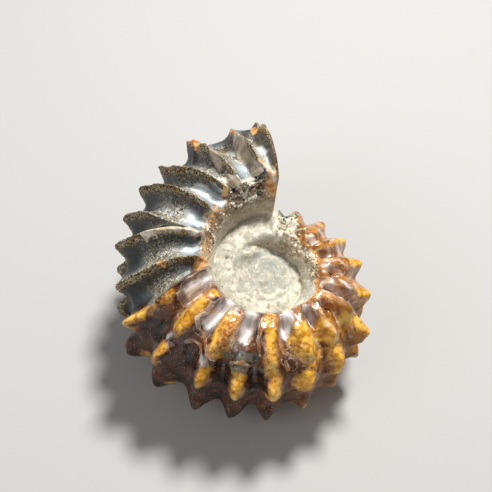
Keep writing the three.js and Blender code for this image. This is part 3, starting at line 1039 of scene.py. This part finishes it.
uneven_crest = sheet.times_plus(sheet.math("SUBTRACT", patches, 0.5), 0.35, sheet.field("crest"))
crust = sheet.step(uneven_crest, 0.86, 0.93)
crust_colour = sheet.two_tone(sheet.noise(1.4), 0.48, 0.60, (208, 194, 154), (170, 124, 62))
base = sheet.over(base, sheet.two_tone(fine_grain, 0.46, 0.56, (28, 25, 21), crust_colour), crust)
loose = sheet.two_tone(patches, 0.38, 0.56, (112, 84, 60), (190, 148, 104))
loose = sheet.two_tone(grain, 0.50, 0.58, loose, (216, 204, 176))
loose = sheet.two_tone(grain, 0.40, 0.32, loose, (36, 31, 26))
shoulder = sheet.step(sheet.times_plus(clouds, 1.2, point), 10.2, 10.7)
base = sheet.over(base, loose, shoulder, sheet.math("SUBTRACT", 1.0, nacre_highlight))
# Painted shade: in the grey half this mark is a narrow slit, painted nearly black.
base = sheet.over(base, (20, 17, 14), marked(sheet, "slate_and_slit_shade", Wobble=0.2, Softness=0.1)["Mask"])

lit = sheet.times(sheet.step(point, 2.5, 6.5, 0.15, 1.0), sheet.times_plus(shade_below_crest, -0.85, 1.0))
rough = sheet.blend(lit, 0.5, sheet.step(tone, 0.3, 0.7, 0.20, 0.32))
height = sheet.times_plus(streaks, 0.5, sheet.times(grain, 0.35))
height = sheet.times_plus(crust, sheet.step(sheet.cells(0.55), 0.0, 0.7, 1.2, 0.0), height)
close_group(sheet, Color=base, Roughness=sheet.blend(crust, rough, 0.8), Coat=sheet.times(lit, 0.45),
            Height=height)

# %% [markdown]
# The older half is clear calcite: purple brown and glossy in the troughs, tawny on the side of the
# oldest ribs, with silky lobes at the inner ends of the troughs. Light is painted on it as well: a
# painted sheen pales the inner ends, the lobes are painted lighter high on the flank and darker low
# on it, and painted highlights streak the trough floors and a few saddles and ribs.

# %% Amber calcite group: troughs
amber_calcite, sheet, given = new_group("amber_calcite", {"Frill": 0.8}, ("Color", "Roughness", "Height"))
point = sheet.point()
streaks = sheet.streaks(1.1, 0.012, 0.0006)
clouds = sheet.noise(3.4, 4.0)
patches = sheet.noise(1.5, 4.0)
grain = sheet.noise(0.5, 4.0)
purple = sheet.two_tone(clouds, 0.35, 0.65, (20, 9, 5), (62, 36, 22))
purple = sheet.over(purple, (106, 51, 20), sheet.step(patches, 0.46, 0.62), 0.8)
upper = sheet.times(sheet.step(point, 4.6, 6.4), sheet.step(clouds, 0.36, 0.60))
purple = sheet.over(purple, (134, 82, 42), upper, 0.7)
purple = sheet.over(purple, (206, 190, 170), sheet.step(sheet.noise(0.28, 2.0), 0.66, 0.72), 0.55)
tawny = sheet.two_tone(patches, 0.36, 0.64, (126, 73, 16), (186, 124, 40))
tawny = sheet.over(tawny, (136, 96, 66), sheet.step(clouds, 0.56, 0.66), 0.6)
tawny_side = sheet.step(sheet.times_plus(clouds, 60.0, sheet.back()), 195.0, 272.0)
base = sheet.over(purple, tawny, tawny_side)
# Painted sheen: a pale streaked haze on the inner ends of the troughs.
inner_end_sheen = sheet.times(sheet.step(point, 7.2, 9.8), sheet.times_plus(tawny_side, -0.35, 0.55))
base = sheet.over(base, (158, 134, 120), inner_end_sheen, sheet.step(streaks, 0.40, 0.62))

lobe = marked(sheet, "lobe", Wobble=given["Frill"], Line=0.11)
# Lit and shaded copies of the lobes' violet: painted light high on the flank, painted shade low.
violet_with_painted_light = sheet.two_tone(streaks, 0.35, 0.65, (78, 58, 54), (162, 146, 138))
shaded_violet = sheet.two_tone(streaks, 0.35, 0.65, (38, 20, 12), (92, 62, 44))
violet_with_painted_light = sheet.two_tone(point, 5.2, 7.4, shaded_violet, violet_with_painted_light)
base = sheet.over(base, violet_with_painted_light, lobe["Mask"], sheet.times_plus(tawny_side, -0.35, 0.70))
# Painted highlights: whitish streaks on the trough floors, saddles and a few ribs.
uneven_painted_highlight = sheet.times_plus(sheet.math("SUBTRACT", patches, 0.5), 1.4, sheet.field("painted_highlight"))
painted_highlight = sheet.step(uneven_painted_highlight, -0.35, 0.75)
base = sheet.over(base, (234, 226, 218), painted_highlight, sheet.step(streaks, 0.30, 0.54, 0.35, 0.95))

# %% [markdown]
# The ribs and their spines are golden where the calcite is thick. It broke along its crystal
# faces, so the gold is in facets with paler edges. Orange lies along the rock, slaty remains of
# the shell stick on in a few places, and pale frilled lines show where the chambers' walls end.

# %% Amber calcite group: gold and lines
FACET = 0.8                   # size of a crystal face in the gold, in millimetres

facet_shade = sheet.part(sheet.cells(FACET, 1), 0)
facet_tone = sheet.times_plus(facet_shade, 0.4, sheet.times(patches, 0.6))
facet_edges = sheet.step(sheet.cells(FACET, feature="DISTANCE_TO_EDGE"), 0.07, 0.02)
core = sheet.step(sheet.times_plus(patches, 1.6, sheet.field("gold")), 0.5, 1.9)
dull = sheet.two_tone(facet_tone, 0.26, 0.50, (134, 82, 14), (198, 134, 30))
bright = sheet.two_tone(facet_tone, 0.30, 0.66, (206, 138, 14), (242, 192, 78))
gold_colour = sheet.over(dull, bright, core)
gold_colour = sheet.over(gold_colour, (244, 214, 150), facet_edges, sheet.step(clouds, 0.45, 0.60, 0.0, 0.6))
gold_colour = sheet.over(gold_colour, (140, 72, 18), sheet.step(sheet.noise(2.0, 2.0), 0.54, 0.66), 0.6)
gold = marked(sheet, "gold", Wobble=1.0, Softness=0.5, Line=0.10)
base = sheet.over(base, gold_colour, gold["Mask"], sheet.step(clouds, 0.22, 0.42, 0.5, 1.0))

rim = sheet.times(sheet.step(sheet.times_plus(patches, 1.2, sheet.field("rock")), -0.25, 0.15), 0.9)
orange = sheet.math("MAXIMUM", marked(sheet, "orange", Wobble=0.5)["Mask"], rim)
base = sheet.over(base, sheet.two_tone(grain, 0.4, 0.6, (180, 108, 34), (224, 172, 104)), orange)
slate_and_slit_shade = marked(sheet, "slate_and_slit_shade", Wobble=1.3, Softness=0.5)["Mask"]
slate_colour = sheet.two_tone(patches, 0.4, 0.6, (44, 46, 44), (110, 108, 96))
base = sheet.over(base, slate_colour, slate_and_slit_shade, sheet.step(patches, 0.30, 0.50, 0.3, 0.9))

suture = marked(sheet, "suture", Wobble=0.4, Line=0.11)
suture_line = sheet.math("MAXIMUM", suture["Line"], sheet.times(suture["Mask"], 0.5))
edge_line = sheet.math("MAXIMUM", lobe["Line"], sheet.times(gold["Line"], 0.6))
line = sheet.math("MAXIMUM", suture_line, sheet.times(edge_line, sheet.step(clouds, 0.36, 0.54, 0.0, 0.8)))
line_colour = sheet.two_tone(sheet.noise(1.2, 2.0), 0.44, 0.60, (206, 140, 84), (236, 214, 186))
base = sheet.over(base, line_colour, line, 0.8)
dust = sheet.times(sheet.step(sheet.cells(0.5), 0.24, 0.12), sheet.step(clouds, 0.40, 0.56, 0.1, 0.55))
base = sheet.over(base, (216, 200, 180), dust)
rough = sheet.math("ADD", sheet.step(patches, 0.35, 0.75, 0.14, 0.34), sheet.step(point, 5.0, 2.0, 0.0, 0.25))
height = sheet.times_plus(sheet.times(gold["Mask"], sheet.cells(FACET)), -0.9, sheet.times(grain, 0.25))
height = sheet.times_plus(line, 0.25, height)
height = sheet.times_plus(sheet.times(streaks, lobe["Mask"]), 0.35, height)
close_group(sheet, Color=base, Roughness=rough, Height=height)

# %% [markdown]
# The umbilicus holds the chalky rock that the shell was buried in: cream, with grey patches, dark
# grains and brown stains. In its middle the buried turns show as a faint grey swirl. Its far wall
# and the wall near the mouth are browner, partly stain and partly painted shade.

# %% Chalky rock group
WHORL_OR_FILLING = (860.0, 800.0)     # the filling is mapped beyond the last degree of the whorl
SWIRL_RADIUS = (0.0066, 0.0050)       # where the swirl fades out and is full, in metres

chalky_rock, sheet, given = new_group("chalky_rock", {"Stain": 0.5}, ("Color", "Roughness", "Height"))
clouds = sheet.noise(2.6, 5.0, roughness=0.65)
grain = sheet.noise(0.6, 5.0, roughness=0.75)
base = sheet.two_tone(clouds, 0.42, 0.56, (213, 206, 185), (172, 169, 154))
base = sheet.two_tone(sheet.noise(1.1), 0.56, 0.68, base, (234, 226, 200))
base = sheet.over(base, (150, 128, 96), sheet.step(sheet.noise(1.8, 4.0), 0.54, 0.66), given["Stain"])
on_whorl = sheet.step(sheet.back(), *WHORL_OR_FILLING)
base = sheet.over(base, (232, 224, 204), on_whorl, sheet.step(clouds, 0.30, 0.60, 0.7, 0.3))

from_coil = sheet.add("VectorMath", 0, {0: sheet.add("TexCoord", 3), 1: COIL_PLACE}, operation="SUBTRACT")
across, upward = sheet.part(from_coil, 0), sheet.part(from_coil, 1)
from_axis = sheet.math("SQRT", sheet.times_plus(across, across, sheet.times(upward, upward)))
turned = sheet.times_plus(sheet.math("ARCTAN2", upward, across), 0.0006, from_axis)
swirl_place = sheet.add(
    "CombineXYZ", 0, {0: turned, 1: sheet.times(across, 0.25), 2: sheet.times(upward, 0.25)})
swirl = sheet.step(sheet.noise(1.5, 4.0, swirl_place, 0.6), 0.47, 0.60)
base = sheet.over(base, (160, 162, 153), swirl, sheet.step(from_axis, *SWIRL_RADIUS), 0.7)

# Stain and painted shade: brown over the far wall and the wall near the mouth.
stain_and_shade_share = sheet.times(sheet.field("stain_and_shade"), sheet.step(sheet.noise(1.4, 4.0), 0.34, 0.56, 0.25, 1.0))
base = sheet.over(base, sheet.two_tone(grain, 0.4, 0.6, (124, 92, 66), (184, 154, 118)), stain_and_shade_share)
base = sheet.over(base, (112, 104, 88), sheet.step(grain, 0.42, 0.30), 0.75)
base = sheet.two_tone(sheet.noise(0.35, 2.0), 0.67, 0.73, base, (52, 49, 43))
base = sheet.over(base, (150, 150, 142), sheet.step(sheet.noise(0.5), 0.56, 0.64), 0.45)
close_group(sheet, Color=base, Roughness=sheet.step(grain, 0.3, 0.7, 0.95, 0.75),
            Height=sheet.times_plus(grain, 0.9, clouds))

# %% [markdown]
# The skin of the fossil is one surface, so one group lays the finishes over each other along
# their ragged edges. The three materials that use it differ only in what lies under the colour:
# grey nacre has a thin gloss, calcite lets light in and has a wet coat, rock has neither.

# %% Whole skin
# Broken and crusted patches of the grey half: dark and light colour, and how ragged they are.
GREY_PATCHES = {
    "tan": ((138, 122, 108), (188, 170, 150), 0.4),
    "orange": ((178, 108, 36), (224, 180, 118), 0.5),
    "cream": ((196, 176, 146), (236, 228, 210), 0.5),
}

fossil_skin, sheet, given = new_group("fossil_skin", {"Frill": 0.8}, ("Color", "Roughness", "Coat", "Height"))
grey, rock = sheet.group(grey_nacre), sheet.group(chalky_rock)
amber = sheet.group(amber_calcite, Frill=given["Frill"])
is_grey = marked(sheet, "grey", Wobble=0.9, Softness=0.3)["Mask"]
is_rock = marked(sheet, "rock", Wobble=0.35, Softness=0.1)["Mask"]
color = sheet.mix(is_grey, amber["Color"], grey["Color"])
rough, height = (sheet.blend(is_grey, amber[name], grey[name]) for name in ("Roughness", "Height"))
coat = sheet.blend(is_grey, sheet.step(sheet.point(), 2.0, 5.5, 0.2, 0.6), grey["Coat"])
grain = sheet.noise(1.4, 4.0)
for kind, (dark, light, wobble) in GREY_PATCHES.items():
    share = sheet.times(is_grey, marked(sheet, kind, Wobble=wobble)["Mask"])
    color = sheet.over(color, sheet.two_tone(grain, 0.4, 0.6, dark, light), share)
    rough = sheet.blend(share, rough, 0.35)
    height = sheet.blend(share, height, sheet.times(grain, 0.3))

face = sheet.field("face")
face_colour = sheet.two_tone(sheet.noise(3.0, 4.0), 0.42, 0.58, (104, 88, 70), (172, 146, 110))
face_colour = sheet.two_tone(sheet.noise(2.4, 5.0), 0.52, 0.62, face_colour, (200, 190, 166))
face_colour = sheet.two_tone(sheet.noise(0.7), 0.38, 0.32, face_colour, (66, 57, 47))
crystal = sheet.two_tone(sheet.noise(0.8, 4.0), 0.42, 0.58, (150, 112, 72), (222, 204, 172))
crystal_rim = sheet.step(sheet.times_plus(sheet.noise(1.6, 4.0), 30.0, sheet.back()), -25.0, -15.0)
color = sheet.over(color, sheet.over(face_colour, crystal, crystal_rim), face)
color = sheet.over(color, rock["Color"], is_rock)
rough = sheet.blend(is_rock, sheet.blend(face, rough, 0.55), rock["Roughness"])
coat = sheet.times(sheet.blend(is_rock, coat, 0.0), sheet.math("SUBTRACT", 1.0, face))
height = sheet.blend(is_rock, height, rock["Height"])
close_group(sheet, Color=color, Roughness=rough, Coat=coat, Height=height)


# %% Three materials
def new_material(name, **uniform):
    """A material, its sheet and its shader, with the values that are the same all over."""
    material = bpy.data.materials.new(name)
    material.use_nodes = True
    shader = material.node_tree.nodes["Principled BSDF"]
    for socket, value in uniform.items():
        shader.inputs[socket.replace("_", " ")].default_value = value
    return material, Sheet(material.node_tree), shader


def skin_material(name, subsurface, depth_mm, coat_roughness, specular):
    material, sheet, shader = new_material(
        name, Coat_Roughness=coat_roughness, Specular_IOR_Level=specular, Subsurface_Weight=subsurface,
        Subsurface_Radius=(1.0, 0.6, 0.3), Subsurface_Scale=depth_mm * MM)
    skin = sheet.group(fossil_skin)
    bump = sheet.add("Bump", 0, {"Height": skin["Height"], "Strength": 0.6, "Distance": 0.25 * MM})
    sheet.feed(shader, {"Base Color": skin["Color"], "Roughness": skin["Roughness"],
                        "Coat Weight": skin["Coat"], "Normal": bump})
    return material


GREY, AMBER, ROCK = range(3)
# How much light enters and how deep in millimetres, roughness of the coat, strength of the gloss.
SKINS = {"grey_nacre": (0.0, 0.1, 0.22, 0.45), "amber_calcite": (0.3, 1.5, 0.13, 0.3),
         "chalky_rock": (0.0, 0.1, 0.5, 0.25)}
stone_data.materials.clear()
for name, values in SKINS.items():
    stone_data.materials.append(skin_material(name, *values))
counts = [0, 0, 0]
for face in stone_data.polygons:
    rock_depth, grey_depth = (sum(vertex_skin[index][kind] for index in face.vertices)
                              for kind in ("rock", "grey"))
    face.material_index = ROCK if rock_depth > 0 else GREY if grey_depth > 0 else AMBER
    counts[face.material_index] += 1
print("faces of grey, amber, rock:", counts)
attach(stone, "root")
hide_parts("ammonite")

# %% [markdown]
# ## Crystals and crumbs
#
# Small crystals line the break under the first ribs, and loose grains of rock stick to the edge
# of the umbilicus. Each grain is a little icosphere of twenty faces, squeezed and turned at
# random and set a little into the stone where the nearest surface is.

# %% Grains
SQUEEZE = (0.7, 1.2)          # how much wider or flatter than round a grain is
STANDS_OUT = (-0.3, 0.4)      # how far its middle is above the surface, in radii
FULL_TURN = 6.28

stone_probe = bmesh.new()
stone_probe.from_mesh(stone_data)
stone_tree = BVHTree.FromBMesh(stone_probe)
stone_probe.free()


def place_at(back, point):
    """The place between ribs that lies a number of degrees back from the mouth."""
    for rib in range(len(RIBS) - 1):
        here, there = rib_back(rib, point), rib_back(rib + 1, point)
        if back < there:
            return max(0.0, rib + (back - here) / (there - here))
    return len(RIBS) - 1.0


def scatter(name, seed, patches, material):
    """Grains on the stone: each patch is (count, backs, points, sizes in millimetres)."""
    random.seed(seed)
    mesh = bmesh.new()
    for count, backs, points, sizes in patches:
        for _ in range(count):
            back, point = random.uniform(*backs), random.uniform(*points)
            _, spot, _ = surface_place(place_at(back, abs(point)), point)
            here, normal, _, _ = stone_tree.find_nearest(LAY_DOWN @ spot)
            size = random.uniform(*sizes) * MM / 2
            squeeze = [size * random.uniform(*SQUEEZE) for _ in range(3)]
            angle = random.uniform(0, FULL_TURN)
            turn = Matrix.Rotation(angle, 4, Vector((random.random(), random.random(), 1)))
            spot = Matrix.Translation(here + normal * size * random.uniform(*STANDS_OUT))
            bmesh.ops.create_icosphere(mesh, subdivisions=1, radius=1,
                                       matrix=spot @ turn @ Matrix.Diagonal((*squeeze, 1)))
    for vert in mesh.verts:
        vert.co = inside_box(vert.co)
    piece = add_piece(name, mesh)
    piece.data.materials.append(material)
    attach(piece, "root")
    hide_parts("ammonite")


def grain_material(name, dark, middle, light, roughness, coat):
    """Every grain gets one of three colours from the cell of space that it lies in."""
    material, sheet, shader = new_material(name, Coat_Weight=coat)
    pick = sheet.part(sheet.cells(0.7, 1), 0)
    tone = sheet.two_tone(pick, 0.20, 0.35, dark, middle)
    tone = sheet.two_tone(pick, 0.45, 0.60, tone, light)
    sheet.feed(shader, {"Base Color": sheet.two_tone(sheet.noise(0.35), 0.60, 0.75, tone, dark),
                        "Roughness": sheet.step(sheet.noise(0.5), 0.3, 0.7, roughness, roughness + 0.25)})
    return material


druse_skin = grain_material("druse", (46, 45, 38), (184, 182, 158), (244, 242, 226), 0.25, 0.4)
crumb_skin = grain_material("crumbs", (150, 126, 96), (190, 170, 138), (226, 214, 188), 0.6, 0.0)
dark_skin = grain_material("dark_crystals", (40, 42, 34), (92, 94, 78), (170, 168, 140), 0.3, 0.4)
scatter("druse_crystals", 3, [
    (230, (3, 31), (9.8, 11.0), (0.30, 0.62)), (26, (60, 68), (9.8, 11.2), (0.30, 0.50)),
    (14, (24, 32), (8.3, 9.2), (0.3, 0.5))], druse_skin)
scatter("rock_crumbs", 5, [
    (110, (252, 330), (9.4, 10.8), (0.35, 0.95)), (40, (318, 345), (7.0, 9.6), (0.4, 0.9)),
    (50, (30, 95), (10.3, 11.2), (0.3, 0.6)), (60, (215, 262), (-10.6, -9.0), (0.4, 0.9))], crumb_skin)
scatter("dark_crystals", 7, [(60, (331, 347), (4.6, 7.4), (0.4, 0.8))], dark_skin)

# %% [markdown]
# ## Floor, light and camera
#
# A small light high up and beyond the stone brings out the ribs, a larger weak one on the near
# side opens the shadows, and the sky fills in the rest. The camera looks down on the upper flank.

# %% Stage
OBJECT_MIDDLE = Vector((0, 0, 0.016))
SKY_COLOUR, SKY_STRENGTH = (0.9, 0.93, 1.0, 1), 0.22

floor_mesh = bmesh.new()
bmesh.ops.create_grid(floor_mesh, x_segments=1, y_segments=1, size=2.0)
floor = add_piece("floor", floor_mesh)
paper, _, _ = new_material("floor_paper", Base_Color=colour(184, 182, 178), Roughness=0.9)
floor.data.materials.append(paper)

world = bpy.data.worlds.new("studio")
world.use_nodes = True
sky = world.node_tree.nodes["Background"].inputs
sky["Color"].default_value = SKY_COLOUR
sky["Strength"].default_value = SKY_STRENGTH
scene.world = world


def area_light(name, place, size, power):
    """A round soft light that points at the middle of the stone."""
    data = bpy.data.lights.new(name, "AREA")
    data.shape, data.size, data.energy = "DISK", size, power
    light = bpy.data.objects.new(name, data)
    light.location = place
    light.rotation_euler = (OBJECT_MIDDLE - Vector(place)).to_track_quat("-Z", "Y").to_euler()
    scene.collection.objects.link(light)
    print(name, "light of", power, "W")


area_light("key", (0.075, 0.161, 0.415), 0.10, 2.85)
area_light("fill", (-0.35, -0.25, 0.35), 0.35, 0.7)
scene.view_settings.view_transform = "Standard"

# %% Camera
CAMERA_PLACE = Vector((-0.01278, -0.10601, 0.15775))      # metres, as is the point it aims at
CAMERA_AIM = Vector((0.00103, 0.00533, 0.01600))
CAMERA_ROLL = 7.07            # degrees
LENS_MM, SENSOR_MM = 66.56, 36

camera_data = bpy.data.cameras.new("camera")
camera_data.lens = LENS_MM
camera_data.sensor_width = SENSOR_MM
camera_data.clip_start = 0.005
camera = bpy.data.objects.new("camera", camera_data)
turn = (CAMERA_AIM - CAMERA_PLACE).to_track_quat("-Z", "Y").to_matrix().to_4x4()
camera.matrix_world = (Matrix.Translation(CAMERA_PLACE) @ turn
                       @ Matrix.Rotation(math.radians(CAMERA_ROLL), 4, "Z"))
scene.collection.objects.link(camera)
scene.camera = camera
print("camera", round((CAMERA_AIM - CAMERA_PLACE).length / MM), "mm from the stone, lens", LENS_MM, "mm")
